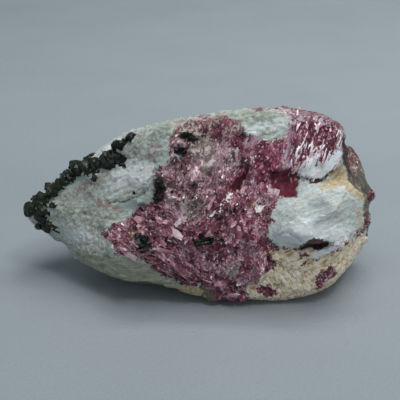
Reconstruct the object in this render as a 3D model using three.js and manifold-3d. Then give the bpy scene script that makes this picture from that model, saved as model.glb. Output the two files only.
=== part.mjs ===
// Raw lepidolite, a hand specimen as broken from a pegmatite: one stone in which a mass of pink mica sits
// in pale cleavelandite feldspar, with a seam of weathered feldspar below it, a slab of smoky quartz behind
// and short prisms of black tourmaline. Everything in it grew together, so the stone is a single solid.
// Units are millimetres, +Z up, X along the stone from its thin end to its thick end, Y to the back.

import * as THREE from 'three';
import { ImprovedNoise } from 'three/addons/math/ImprovedNoise.js';
import { mergeVertices } from 'three/addons/utils/BufferGeometryUtils.js';
import Module from 'manifold-3d';

const wasm = await Module();
wasm.setup();

// ---- the body: a ball stretched to `half` about `middle` and cut back by fracture faces ----
const BODY = {
  middle: [5, -3, 25],
  half: [80, 44, 36],
  spread: [1.4, 1, 1], // evens out the size of the facets from the waist to the ends
  detail: 16,
  sharpness: 30, // a higher number leaves crisper edges between the faces
  faces: [
    // [turn, tilt, reach]: the outward heading of each face and how far it lies from the middle
    [172, 41, 40.8], // the outline seen from the front, clockwise from the thin end
    [166, 49, 34.6],
    [162, 53, 31.1],
    [139, 68, 27],
    [130, 71, 25.8],
    [110, 74, 26.6],
    [73, 75, 27.9],
    [15, 55, 40.3],
    [1, 30, 40.9],
    [-6, 13, 41],
    [-13, -6, 41.8],
    [-22, -27, 45.4],
    [-32, -42, 39.3],
    [-47, -54, 35],
    [-83, -64, 28.4],
    [-99, -64, 28.6],
    [-109, -64, 27],
    [-127, -59, 29.6],
    [-151, -41, 39],
    [-143, -50, 34.4],
    [-155, -35, 45],
    [-92, 16, 20], // the mica face
    [-92, -12, 20],
    [-123, 18, 24], // the feldspar face towards the thin end
    [-135, -14, 33],
    [-50, 3, 33], // the thick end
    [60, 12, 33], // the back
    [90, 38, 27],
    [92, -12, 30],
    [128, 15, 42],
    [120, -38, 33],
    [62, -38, 32],
  ],
};

// ---- what stands proud of those faces, or lies below them where `rise` is negative ----
// Each is an egg of this half size: its skin rises to `rise` over the share `edge` of the way in.
const MICA = { at: [9, -23, 27], half: [23, 14, 27], rise: 0.9, edge: 0.05 };
const SWELLS = [
  MICA,
  { at: [-16, -22, 18], half: [11, 9, 8], rise: 2, edge: 0.2 }, // its wing towards the thin end
  { at: [33, -24, 46.5], half: [10.5, 17, 9], rise: 1.8, edge: 0.14 }, // the block of striated mica
  { at: [23.5, -19, 36.5], half: [5.5, 7, 4.5], rise: -2.8, edge: 0.4 }, // the break beside the block
  { at: [13, -20, 37], half: [3, 5, 4], rise: -1.4, edge: 0.6 },
  { at: [34, -24, 28], half: [15, 16, 10], rise: 5.5, edge: 0.26 }, // the rounded boss of feldspar
  { at: [36, -22, 37.5], half: [9, 12, 2], rise: -2.2, edge: 0.9 }, // the cleft between boss and block
  { at: [53, 15, 22], half: [20, 20, 21], rise: 2.7, edge: 0.06 }, // the slab of smoky quartz
  { at: [50, 4, 25], half: [6, 6, 3.6], rise: 2.4, edge: 0.6 }, // a knob on the slab
  { at: [-17, -17, 27], half: [9, 8, 3.4], rise: -1.8, edge: 0.5 }, // the hollow in the feldspar
  { at: [-14, -11, 3], half: [13, 11, 7], rise: -3.2, edge: 0.6 }, // the undercut below the wing
  { at: [15, -5, 52], half: [12, 9, 5], rise: -0.9, edge: 0.2 }, // the pale patch on top
  { at: [-48, 2, 18.5], half: [7, 7, 7], rise: 2.8, edge: 0.6 }, // the blunt tip of the thin end
  { at: [-38, -1, 10], half: [6, 7, 3], rise: -2, edge: 0.6 }, // the undercut below it
  { at: [-21, -4, 45], half: [7, 8, 5], rise: 0.9, edge: 0.6 }, // the crest above the rim
];

// ---- clefts: thin hollows under the boss, and between the block and the slab ----
const CLEFTS = [
  { middle: [30, -28, 19.4], half: [8, 9, 1.7], lean: [14, -10, 0] },
  { middle: [44, -6, 42], half: [1.2, 9, 8], lean: [0, -14, 30] },
];

// ---- crystals: six-sided prisms and plates, each on the skin straight out from the middle through a point
// A group runs `from` one place `to` another, with each crystal up to `stray` mm off that line. A crystal
// leans over by `tip` degrees, any way round, or has its axis along `lie`; it is pressed in by `sink`. A
// group with `places` has one crystal at each of them instead.
const CRYSTALS = [
  {
    // mica books, low on the mass
    count: 10, from: [-9, -24, 15], to: [23, -24, 10], stray: 4,
    radius: [2.2, 4], length: [1.2, 1.8], tip: [12, 40], sink: 0.6,
  },
  {
    // mica books, half way up
    count: 10, from: [-10, -24, 26], to: [19, -24, 21.5], stray: 3.5,
    radius: [2.2, 4], length: [1.2, 1.8], tip: [12, 40], sink: 0.8,
  },
  {
    // mica books, high on the mass
    count: 10, from: [-7, -24, 42], to: [19, -24, 34], stray: 5,
    radius: [2, 3.6], length: [1.2, 1.8], tip: [12, 40], sink: 0.6,
  },
  {
    // the ribs of the striated block
    count: 10, from: [23, -20, 45], to: [38, -19, 47], stray: 0.6,
    radius: [0.9, 1.4], length: [7, 12], lie: [0.42, 0.3, 0.85], sink: 0.7,
  },
  {
    // the large tourmaline in the wing
    count: 1, from: [-14.4, -25, 22.4],
    radius: [2.2, 2.2], length: [4.6, 4.6], tip: [10, 20], sink: -0.4,
  },
  {
    // single tourmalines at the left edge of the mica
    count: 2, from: [-9, -20.4, 36], to: [-9.5, -20.4, 33],
    radius: [0.9, 1.3], length: [3, 4], tip: [20, 40], sink: 0.2,
  },
  {
    // single tourmalines near its top
    count: 2, from: [-1.6, -17, 49.4], to: [-4, -19, 46],
    radius: [0.9, 1.4], length: [3, 4], tip: [30, 60], sink: 0,
  },
  {
    // two long tourmalines that lie in the mica
    count: 2, from: [2, -23.6, 22.4], to: [9, -23.6, 21.8],
    radius: [0.8, 1.1], length: [6, 8], lie: [1, 0, -0.12], sink: -0.3,
  },
  {
    // the tourmalines along the rim of the thin end and round its tip: each one's place and radius
    places: [
      [-20.7, -8.5, 44.1, 0.9], [-23.3, -7.5, 41.5, 1.1], [-25, -6.9, 41, 1.2], [-27.6, -7.2, 39.1, 1.3],
      [-25, -7.9, 38.7, 1.5], [-23.2, -9.1, 39.4, 1.4], [-21, -9.8, 39.3, 0.9], [-30.5, -6.7, 37.8, 1.7],
      [-31.4, -6.2, 36.4, 1.7], [-29.9, -7.3, 36.8, 1.4], [-31.2, -6.5, 35.1, 1.2], [-33.8, -2.5, 35.2, 1.6],
      [-35.7, -1.4, 33.7, 1.6], [-28.4, -7.8, 34.5, 1.4], [-37.5, -2.1, 31.2, 1.4], [-39, -1.6, 30.1, 1.5],
      [-40.6, -0.7, 29.2, 1.5], [-41.3, -1.1, 28.2, 1.1], [-44.4, 0.3, 25.8, 1.1], [-46.8, 0.8, 23.3, 1.3],
      [-47.4, 1.4, 22.1, 1.1], [-44.5, -1.1, 22.6, 1.8], [-41.1, -3, 24.5, 1.2], [-45, -0.2, 20.1, 1.4],
      [-44.6, -0.4, 18.1, 1.6], [-44, -0.8, 16.3, 1.5], [-42.5, -1.8, 17.6, 0.9], [-43, -1.2, 15.6, 0.9],
    ],
    length: [2.8, 4], tip: [0, 45], sink: 0.8,
  },
];

const TAPER = 0.93; // a crystal's free end over its root
const FLOOR = { width: 300, thick: 60 };

const STONE_COLOUR = 0xb9a4a8;
const STONE_ROUGHNESS = 0.6;

const noise = new ImprovedNoise();

// Smooth noise from about -1 to 1, with lumps `size` mm across; `shift` picks another pattern.
function lumps(point, size, shift) {
  return noise.noise(point.x / size + shift, point.y / size - shift, point.z / size + shift / 2);
}

// A number from 0 to 1 that looks random but is always the same for the same cell and `pick`.
function chance(cell, pick) {
  const wave = Math.sin(cell.x * 127.1 + cell.y * 311.7 + cell.z * 74.7 + pick * 269.5) * 43758.5;
  return wave - Math.floor(wave);
}

// A random vector of a cell, each component from -0.5 to 0.5.
function throwOf(cell, pick) {
  return new THREE.Vector3(chance(cell, pick), chance(cell, pick + 1), chance(cell, pick + 2)).subScalar(0.5);
}

// Broken facets: space is split into cells `size` mm across, each with its own level and slope.
function facets(point, size) {
  const here = point.clone().divideScalar(size);
  const corner = here.clone().floor();
  let nearest = Infinity;
  let level = 0;
  for (let i = 0; i < 27; i++) {
    const step = new THREE.Vector3(i % 3, Math.floor(i / 3) % 3, Math.floor(i / 9)).subScalar(1);
    const cell = corner.clone().add(step);
    const gap = here.clone().sub(cell).addScalar(-0.5).sub(throwOf(cell, 1));
    if (gap.lengthSq() > nearest) continue;
    nearest = gap.lengthSq();
    level = chance(cell, 4) - 0.5 + gap.dot(throwOf(cell, 5)) * 2;
  }
  return level;
}

// How far a point is inside a swell: 0 outside its rim, 1 past the share `edge` of the way in.
function within({ at, half, edge }, point) {
  const gap = point.clone().sub(new THREE.Vector3(...at)).divide(new THREE.Vector3(...half)).length();
  return THREE.MathUtils.smoothstep(1 - gap + 0.12 * lumps(point, 5, 2.6), 0, edge);
}

// How far the skin of the body stands out from its fracture faces at a point, in mm.
function relief(point) {
  const rise = SWELLS.reduce((sum, swell) => sum + swell.rise * within(swell, point), 0);
  const mica = within(MICA, point);
  const broken = 0.8 * (1 - mica) * facets(point, 9) + 1.5 * mica * facets(point, 5.5);
  return rise + broken + 0.9 * lumps(point, 14, 3.1) + 0.4 * lumps(point, 5, 7.3);
}

// The unit vector with this turn about Z (0 is +X, 90 is the back) and this tilt above level, in degrees.
function heading(turn, tilt) {
  const [a, b] = [turn, tilt].map(THREE.MathUtils.degToRad);
  return new THREE.Vector3(Math.cos(b) * Math.cos(a), Math.cos(b) * Math.sin(a), Math.sin(b));
}

// The point where a ray from the body's middle leaves it.
function skinPoint(ray) {
  const [x, y, z] = BODY.half;
  const share = (wide) => Math.max(0, wide) ** BODY.sharpness;
  const ball = share(Math.hypot(ray.x / x, ray.y / y, ray.z / z));
  const cuts = BODY.faces.map(([turn, tilt, reach]) => share(heading(turn, tilt).dot(ray) / reach));
  const sum = cuts.reduce((total, cut) => total + cut, ball);
  const point = new THREE.Vector3(...BODY.middle).addScaledVector(ray, sum ** (-1 / BODY.sharpness));
  return point.addScaledVector(ray, relief(point));
}

// A closed three.js shape as a manifold-3d solid.
function solid(geometry) {
  const bare = new THREE.BufferGeometry();
  bare.setAttribute('position', geometry.getAttribute('position').clone());
  bare.setIndex(geometry.getIndex());
  const merged = mergeVertices(bare, 1e-4);
  return new wasm.Manifold(new wasm.Mesh({
    numProp: 3,
    vertProperties: Float32Array.from(merged.getAttribute('position').array),
    triVerts: Uint32Array.from(merged.getIndex().array),
  }));
}

function brokenBody() {
  const geometry = new THREE.IcosahedronGeometry(1, BODY.detail);
  const position = geometry.getAttribute('position');
  const spread = new THREE.Vector3(...BODY.spread);
  const ray = new THREE.Vector3();
  for (let i = 0; i < position.count; i++) {
    ray.fromBufferAttribute(position, i).multiply(spread).normalize();
    position.setXYZ(i, ...skinPoint(ray));
  }
  return solid(geometry);
}

function cleft({ middle, half, lean }) {
  const [x, y, z] = lean.map(THREE.MathUtils.degToRad);
  const egg = new THREE.IcosahedronGeometry(1, 3).scale(...half);
  return solid(egg.rotateX(x).rotateY(y).rotateZ(z).translate(...middle));
}

// Crystal number `i` of group number `g`.
function crystal(group, g, i) {
  const seed = new THREE.Vector3(g, i, 0);
  const roll = (low, high, pick) => THREE.MathUtils.lerp(low, high, chance(seed, pick));
  const { places, from, to = from, stray = 0 } = group;
  const share = i / Math.max(1, group.count - 1);
  const onLine = (start, k) => THREE.MathUtils.lerp(start, to[k], share) + roll(-stray, stray, k);
  const at = places ? places[i].slice(0, 3) : from.map(onLine);
  const out = new THREE.Vector3(...at).sub(new THREE.Vector3(...BODY.middle)).normalize();
  const axis = new THREE.Vector3(...(group.lie ?? out));
  if (group.lie) {
    axis.add(throwOf(seed, 3).multiplyScalar(0.2)).normalize();
  } else {
    const level = new THREE.Vector3(0, 0, 1).cross(out).normalize();
    const hinge = level.applyAxisAngle(out, roll(0, 2 * Math.PI, 3));
    axis.applyAxisAngle(hinge, THREE.MathUtils.degToRad(roll(...group.tip, 4)));
  }
  const wide = places ? places[i][3] : roll(...group.radius, 6);
  const tall = roll(...group.length, 7);
  const prism = new THREE.CylinderGeometry(wide * TAPER, wide, tall, 6).rotateY(roll(0, Math.PI, 8));
  prism.applyQuaternion(new THREE.Quaternion().setFromUnitVectors(new THREE.Vector3(0, 1, 0), axis));
  return solid(prism.translate(...skinPoint(out).addScaledVector(out, -group.sink)));
}

let stone = brokenBody();
CRYSTALS.forEach((group, g) => {
  const count = group.places ? group.places.length : group.count;
  for (let i = 0; i < count; i++) stone = stone.add(crystal(group, g, i));
});
for (const hollow of CLEFTS) stone = stone.subtract(cleft(hollow));

// the flat foot that the stone rests on
const floor = new THREE.BoxGeometry(FLOOR.width, FLOOR.width, FLOOR.thick).translate(0, 0, -FLOOR.thick / 2);
stone = stone.subtract(solid(floor));

const mesh = stone.getMesh();
const geometry = new THREE.BufferGeometry();
geometry.setAttribute('position', new THREE.BufferAttribute(mesh.vertProperties, 3));
geometry.setIndex(new THREE.BufferAttribute(mesh.triVerts, 1));
geometry.computeBoundingBox();
const { min, max } = geometry.boundingBox;
geometry.translate(-(min.x + max.x) / 2, -(min.y + max.y) / 2, 0);

const part = new THREE.Group();
const material = new THREE.MeshStandardMaterial({ color: STONE_COLOUR, roughness: STONE_ROUGHNESS });
const node = new THREE.Mesh(geometry, material);
node.name = 'lepidolite_stone';
part.add(node);

export default part;
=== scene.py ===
# Raw lepidolite: a hand specimen of pegmatite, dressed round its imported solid. The rock is one piece, and the
# mica books and the tourmaline that show on it are pieces of their own. Lengths are in millimetres, and MM
# turns them into Blender's metres. Points of the rock are in the part's own frame, with its front towards -Y.

import math

import bmesh
import bpy
import numpy as np
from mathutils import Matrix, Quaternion, Vector, noise
from mathutils.bvhtree import BVHTree


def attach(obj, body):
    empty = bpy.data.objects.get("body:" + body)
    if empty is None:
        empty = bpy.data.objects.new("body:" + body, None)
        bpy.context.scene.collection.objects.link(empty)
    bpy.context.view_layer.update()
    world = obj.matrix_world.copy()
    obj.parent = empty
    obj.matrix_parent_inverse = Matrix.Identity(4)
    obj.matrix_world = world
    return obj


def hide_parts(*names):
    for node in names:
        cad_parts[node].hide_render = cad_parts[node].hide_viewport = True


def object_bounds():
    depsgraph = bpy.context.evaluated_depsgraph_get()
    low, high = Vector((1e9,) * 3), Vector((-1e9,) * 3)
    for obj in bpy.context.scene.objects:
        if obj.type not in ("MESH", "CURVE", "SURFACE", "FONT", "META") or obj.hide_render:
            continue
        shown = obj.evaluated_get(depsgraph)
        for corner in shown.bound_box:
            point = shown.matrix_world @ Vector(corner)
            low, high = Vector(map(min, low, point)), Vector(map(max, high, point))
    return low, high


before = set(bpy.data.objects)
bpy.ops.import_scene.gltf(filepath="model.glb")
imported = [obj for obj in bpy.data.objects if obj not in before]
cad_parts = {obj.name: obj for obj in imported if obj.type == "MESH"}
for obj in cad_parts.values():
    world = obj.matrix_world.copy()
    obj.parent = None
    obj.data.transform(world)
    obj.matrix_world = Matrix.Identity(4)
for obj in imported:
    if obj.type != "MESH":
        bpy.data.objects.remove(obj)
cad_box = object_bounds()
MM = 0.001


# ---- The view ----
# The stone lies on a table and is looked at from in front and a little above, through a long lens. The map of
# its minerals below is drawn square to this view, so its plane is set here.
LOOK_AT = np.array([0.39, -5.98, 27.32])
ELEVATION = math.radians(20)
DISTANCE = 282.5
LENS = 90
SENSOR = 36

ACROSS = np.array([1.0, 0.0, 0.0])
AHEAD = np.array([0.0, math.cos(ELEVATION), -math.sin(ELEVATION)])
UPWARD = np.array([0.0, math.sin(ELEVATION), math.cos(ELEVATION)])
EYE = LOOK_AT - DISTANCE * AHEAD


def put(name, data):
    """A new object in the scene."""
    thing = bpy.data.objects.new(name, data)
    bpy.context.scene.collection.objects.link(thing)
    return thing


lens = bpy.data.cameras.new("front_view")
lens.lens, lens.sensor_width = LENS, SENSOR
camera = put("front_view", lens)
camera.location = Vector(EYE * MM)
camera.rotation_euler = (math.pi / 2 - ELEVATION, 0, 0)
bpy.context.scene.camera = camera


# ---- The rock ----
# One mass of grown-together minerals: pink mica in pale albite, with striated mica at the top of the thick
# end, weathered feldspar below it and smoky quartz behind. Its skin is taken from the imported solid, made
# finer and broken into cleavage steps, grain and cracks.
MERGE = 0.001  # corners that are nearer than this are made one
GRID = 0.8  # size of the rock's faces, halved where the front shows:
FINE_DEPTH = 14  # down to this depth behind the plane of the front map,
FINE_FOOT = 1  # above this height,
FINE_FACING = 0.1  # and where they turn away from the view no more than this
SOFTEN = 2  # rounds of smoothing that take the solid's own facets away
FADE = (10, 16)  # over these depths behind the plane the front's minerals give way to those round the back,
RIDGE_FACING = (0, 0.16)  # and where a face turns this far away from the view
RIDGE_RISE = (0.2, 0.6)  # and looks up this much
RAGGED = ((5.1, 9.7), (31.3, 57.9))  # where the noise starts that frays the zones' edges, across and up
FRAYED = (3, 13)  # over these depths the edges fray more
REACH = 6  # the most that a point counts as inside or outside a zone
EDGE = (-0.35, 0.4)  # a zone's relief sets in over this stretch of its edge
FOOT = (0.3, 2)  # and over these heights, so that the foot stays flat
WING = (4, 10)  # the wing of the mica sets in over this stretch to the left,
WING_SLANT = 0.3  # and farther left the higher up
SEAM_STEEP = (13, 17)  # the seam's grain stands steep this far down, only lower to the right of the middle
SEAM_MIDDLE = 20
WHITE_UNDER = 11  # the block is whiter below this height on the front map
WHITE_RIGHT = 36  # and to the right of this
MASS_TURN = 72  # how the mica runs on the front map, in degrees: in the mass, in the wing and in the block
WING_TURN = -38
BLOCK_TURN = 71
STEP_SLOPE = 1.6  # how steep the mica's cleavage steps are
# How the steps run on the front map in degrees, and how long, high and deep they are
COARSE_STEPS = (75, (4.2, 2.6, 2.8))
MEDIUM_STEPS = (60, (1.9, 1.2, 1.4))
WING_STEPS = (WING_TURN, (4.6, 1.7, 2.2))
# Lumps of the relief: how they run, if any way, how long, high and deep they are, where their noise starts
LUMPS = {
    "small": (None, 0.8, 2.2),
    "patches": (None, 7, 21.7),
    "pits": (None, 0.7, 3.8),
    "glass": (None, 5, 9.1),
    "fine_glass": (None, 2, 3.1),
    "crack": (None, 1.2, 4.9),
    "ridge": (None, 2, 7.9),
    "ribs": (68, (7, 0.95, 3), 4.4),
    "fine_ribs": (68, (3, 0.6, 1.5), 8.8),
    "blades": (26, (4, 1.1, 3), 6.6),
    "fine_blades": (10, (2.2, 0.7, 1.2), 1.9),
    "rolls": (30, (9, 4, 6), 14.2),
    "shelves": (4, (9, 1.2, 4), 7.7),
    "strokes": (-58, (2.6, 0.6, 1), 2.9),
    "fine_strokes": (-50, (1.4, 0.5, 1), 8.1),
    "waves": (14, (3.6, 0.7, 1.2), 5.3),
    "fine_waves": (20, (1.6, 0.5, 1), 7.4),
}
# The front map: where each mineral shows, as outlines in mm across and up from the middle of the view
OUTLINES = [
    ("mica", [
        (-7.9, 18.6), (-7.1, 20.9), (-4.8, 22), (-1.4, 22.9), (2.3, 23.7), (5.9, 23.4), (8.8, 23.2),
        (10.7, 22.3), (12.1, 20.6), (12.4, 18.4), (15.3, 17.8), (17.5, 17.2), (19.2, 16.4), (22.6, 16.9),
        (24.6, 17.8), (25.1, 15.5), (27.1, 11.3), (27.4, 6.8), (27.7, 4.5), (27.1, 1.1), (25.4, 0.6),
        (23.4, 0.6), (20.9, -1.4), (20.6, -3.7), (20.6, -5.6), (20.1, -7.9), (18.9, -9.3), (19.8, -11),
        (21.2, -12.4), (22.9, -13.6), (22.3, -14.7), (19.8, -15.3), (21.2, -16.9), (20.9, -19.2),
        (19.2, -20.1), (17.5, -20.9), (16.9, -22.6), (16.1, -23.7), (13.3, -24), (12.7, -26), (13.6, -28),
        (9, -29.9), (4.5, -29.4), (3.7, -25.4), (1.7, -24), (-0.3, -23.7), (-2.8, -24.6), (-5.1, -24),
        (-6.2, -22.6), (-8.5, -22), (-11.6, -21.2), (-13.3, -19.8), (-14.1, -18.4), (-15.5, -17.2),
        (-17.5, -16.1), (-20.3, -15.5), (-24, -15), (-24.9, -13.3), (-24.6, -12.1), (-26.8, -10.7),
        (-27.4, -9.9), (-25.1, -7.6), (-22.9, -5.9), (-19.5, -5.4), (-18.4, -3.4), (-17.5, -1.7),
        (-15, -1.4), (-13, -0.8), (-13.3, 1.1), (-13, 5.6), (-12.4, 8.5), (-10.5, 9.6), (-9, 11),
        (-8.2, 13.6), (-8.5, 16.4),
    ]),
    ("block", [  # crimson mica with white lamellae
        (25.4, 21.2), (24.6, 23.4), (27.1, 26), (29.7, 26.6), (34.5, 26), (39, 24.3), (41.2, 19.8),
        (40.4, 16.9), (40.1, 14.1), (39.5, 11.3), (38.7, 9.6), (37.6, 8.5), (36.2, 7.6), (34.7, 5.6),
        (31.6, 5.1), (28.2, 5.6), (27.4, 7.9), (23.7, 7.9), (23.4, 11.3), (24.6, 15.5), (25.1, 18.4),
    ]),
    ("lilac", [  # its silky left side
        (25.2, 21.2), (26.2, 19.4), (26.1, 14.7), (25.4, 9.9), (24.6, 7.6), (23.2, 7.6), (22.9, 11.3),
        (24, 15.5), (24.4, 18.9),
    ]),
    ("below", [  # bluish-white albite that the lamellae run into
        (30.6, 9.8), (31.4, 12.6), (32.8, 11.4), (35.6, 11.4), (37.6, 13.4), (39.3, 14.8), (40.7, 13.6),
        (39.5, 11.3), (38.4, 9.6), (37, 8.2), (35.3, 6.2), (33.3, 5.6), (31.1, 5.9), (29.1, 6.5),
        (28.2, 8.5), (29.7, 10.2),
    ]),
    ("boss", [
        (27.7, 5.1), (29.9, 5.4), (33.3, 5.1), (36.7, 4), (40.1, 4.8), (42.4, 3.4), (44.6, 1.4),
        (45.8, -0.8), (46.3, -4.2), (47.5, -7.9), (46.9, -10.2), (43.8, -10.7), (41, -11.3), (37.9, -11),
        (35.3, -11.3), (32.5, -11.6), (29.7, -12.1), (26.8, -13), (24, -13.6), (21.5, -12.4),
        (19.8, -10.7), (19.2, -9), (20.3, -7.3), (20.9, -4.2), (20.9, -1.4), (23.4, 0.3), (25.7, 0.3),
        (27.4, 1.4),
    ]),
    # the hollow below the boss: dark maroon mica, painted near-black as its shade
    ("slot", [  # the dark hollow below the boss
        (26.3, -13.8), (29.1, -12.4), (31.6, -11.6), (34.5, -11.4), (36.7, -11.6), (36.4, -13),
        (34.7, -13.6), (33.3, -14.4), (31.6, -13.8), (29.7, -13.6), (28.2, -14.1),
    ]),
    ("tongue", [  # pale lilac mica below the hollow
        (30.5, -16.1), (32.8, -14.7), (35, -13.8), (37.6, -13), (39.8, -11.3), (41.5, -11), (39.8, -13),
        (37, -14.4), (34.5, -15.8), (32.2, -16.7),
    ]),
    ("seam", [  # tan weathered feldspar
        (18.8, -14.6), (22.9, -13.8), (26, -13.8), (28.8, -13.8), (31.6, -14), (34.5, -13.6),
        (37.6, -12.8), (40.1, -11.8), (42.4, -11), (46.3, -10.5), (49.2, -11.9), (48, -15.5),
        (44.6, -19.8), (39.5, -24), (33.3, -27.7), (27.7, -30.4), (22, -30.4), (10.6, -31),
        (10.6, -25.2), (14.4, -24), (15.4, -22), (16.2, -20.4), (18.6, -18.8), (19.6, -17),
    ]),
    ("stain", [  # iron-stained crumbs between the block and the boss
        (34.2, 3.7), (36.2, 6.2), (38.4, 8.5), (40.4, 9.9), (41.8, 7.6), (42.1, 5.6), (42.9, 3.7),
        (45.2, 2.8), (46.6, 0.6), (45.5, -0.8), (43.8, 1.1), (41.5, 2.8), (39.8, 4.2), (37.3, 3.4),
    ]),
    ("speckle", [  # pink, grey and brown crumbs on top of the mica mass
        (-8.5, 19.5), (-7.3, 22), (-2.8, 23.4), (2.3, 24.9), (7.3, 24.3), (11.3, 22.3), (12.4, 19.8),
        (10.7, 18.1), (7.1, 17.5), (3.4, 17.8), (0, 17.8), (-2.3, 16.9), (-5.6, 16.7), (-7.9, 16.9),
    ]),
    ("rim", [  # pinker crumbs on the rim above the block
        (22.6, 24.3), (19.8, 26.6), (26.8, 27.7), (33.3, 26.3), (39.5, 24.9), (40.1, 20.9), (37.6, 20.6),
        (33.9, 22.3), (29.7, 22.6), (26.3, 22), (24.3, 23.2),
    ]),
    ("under", [  # the layered face below the thin end
        (-39.5, -12.4), (-36.2, -13.8), (-32.5, -15), (-27.4, -14.7), (-24, -15.3), (-19.8, -16.1),
        (-16.9, -17.2), (-14.4, -18.6), (-12.4, -20.9), (-8.5, -22.3), (-5.6, -24), (-2.8, -27.1),
        (-14.1, -26), (-25.4, -23.7), (-33.3, -19.2), (-38.4, -14.1),
    ]),
    ("slab", [  # smoky quartz behind the thick end, and below it at the foot
        (40.1, 18.4), (41.5, 17.5), (43.2, 14.4), (45.8, 12.7), (47.2, 8.2), (48, 4), (50.3, 2.8),
        (50.3, -4.2), (48.6, -9), (46.9, -8.5), (46, -5.6), (46.3, -2.8), (46, 0), (44.6, 2.3),
        (42.7, 3.7), (41.8, 6.2), (41.2, 9), (40.4, 11.9), (40.1, 14.7),
    ]),
    ("slab", [(0, -23.7), (3.7, -24), (5.2, -26.6), (5.6, -30.5), (0.6, -30.5), (-0.6, -25.7)]),
    ("crimson", [  # the smooth crimson cleavage face
        (20.1, 7.9), (22.6, 9), (27.1, 7.6), (27.7, 4.8), (26.8, 1.1), (24.9, 0.3), (21.8, 1.1), (19.8, 3.7),
    ]),
    # a crimson facet turned from the light, painted darker as its shade
    ("wedge", [(13, 10.2), (14.7, 11.3), (13, 6.2), (10.7, 1.7), (8.2, 2.8), (10.5, 6.5)]),
    ("magenta", [
        (16.6, 16.7), (19.2, 15.8), (22.9, 15.3), (23.7, 11.3), (22, 8.4), (20, 5), (19, 2.6), (16.4, 4.6),
        (15.4, 8.6), (15.2, 12.1),
    ]),
    ("ashen", [  # where the mica is greyish
        (-8.3, 16.6), (-6, 17), (-2, 17.5), (3, 18), (7, 17.6), (9.6, 14.6), (9.3, 10), (7.6, 5.6),
        (5, 3.2), (3.4, -1), (2.2, -5), (-1, -6.4), (-5, -6), (-8.6, -3.6), (-11, -1), (-12.6, 3),
        (-12, 7.4), (-9.6, 9.8), (-8, 12.8),
    ]),
    ("quartz", [  # greyish quartz in the mica
        (-2, 16.7), (0.8, 17.8), (4, 17.5), (5.9, 15.5), (5.4, 12.1), (3.7, 9.3), (1.7, 6.2), (0, 8.2),
        (-2.3, 11.6), (-3.4, 14.1),
    ]),
    ("quartz", [
        (-7.9, 1.1), (-4.2, 0.3), (-0.3, 0.8), (0.6, -2), (0.6, -4.2), (-1.4, -5.4), (-4.2, -4.8),
        (-6.8, -3.1),
    ]),
    ("quartz", [(6.2, -18.1), (9, -17.2), (11.9, -18.4), (11.3, -21.5), (9, -23.2), (6.8, -21.8)]),
    ("quartz", [(7.1, 14.1), (9, 14.7), (11.3, 13.6), (11.3, 9.6), (9, 9), (7.3, 10.5)]),
    ("pink", [  # pink mica in the seam
        (32.5, -22.3), (34.2, -19.8), (36.2, -18.6), (37.9, -18.9), (38.4, -20.3), (37, -22), (35.3, -23.7),
        (33.3, -25.4), (32.5, -23.7),
    ]),
    ("pink", [
        (15.8, -25.1), (17.5, -24.3), (19.8, -24.9), (21.8, -24.3), (22.3, -26), (20.6, -27.7), (17.5, -27.1),
    ]),
    ("hollow", [  # the smooth hollow beside the wing, painted bluish grey as its shade
        (-22.3, -0.8), (-18.4, 0), (-14.1, 1.4), (-12.7, 0), (-14.7, -1.7), (-17.5, -1.7), (-18.9, -3.4),
        (-22, -2.5),
    ]),
]
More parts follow.
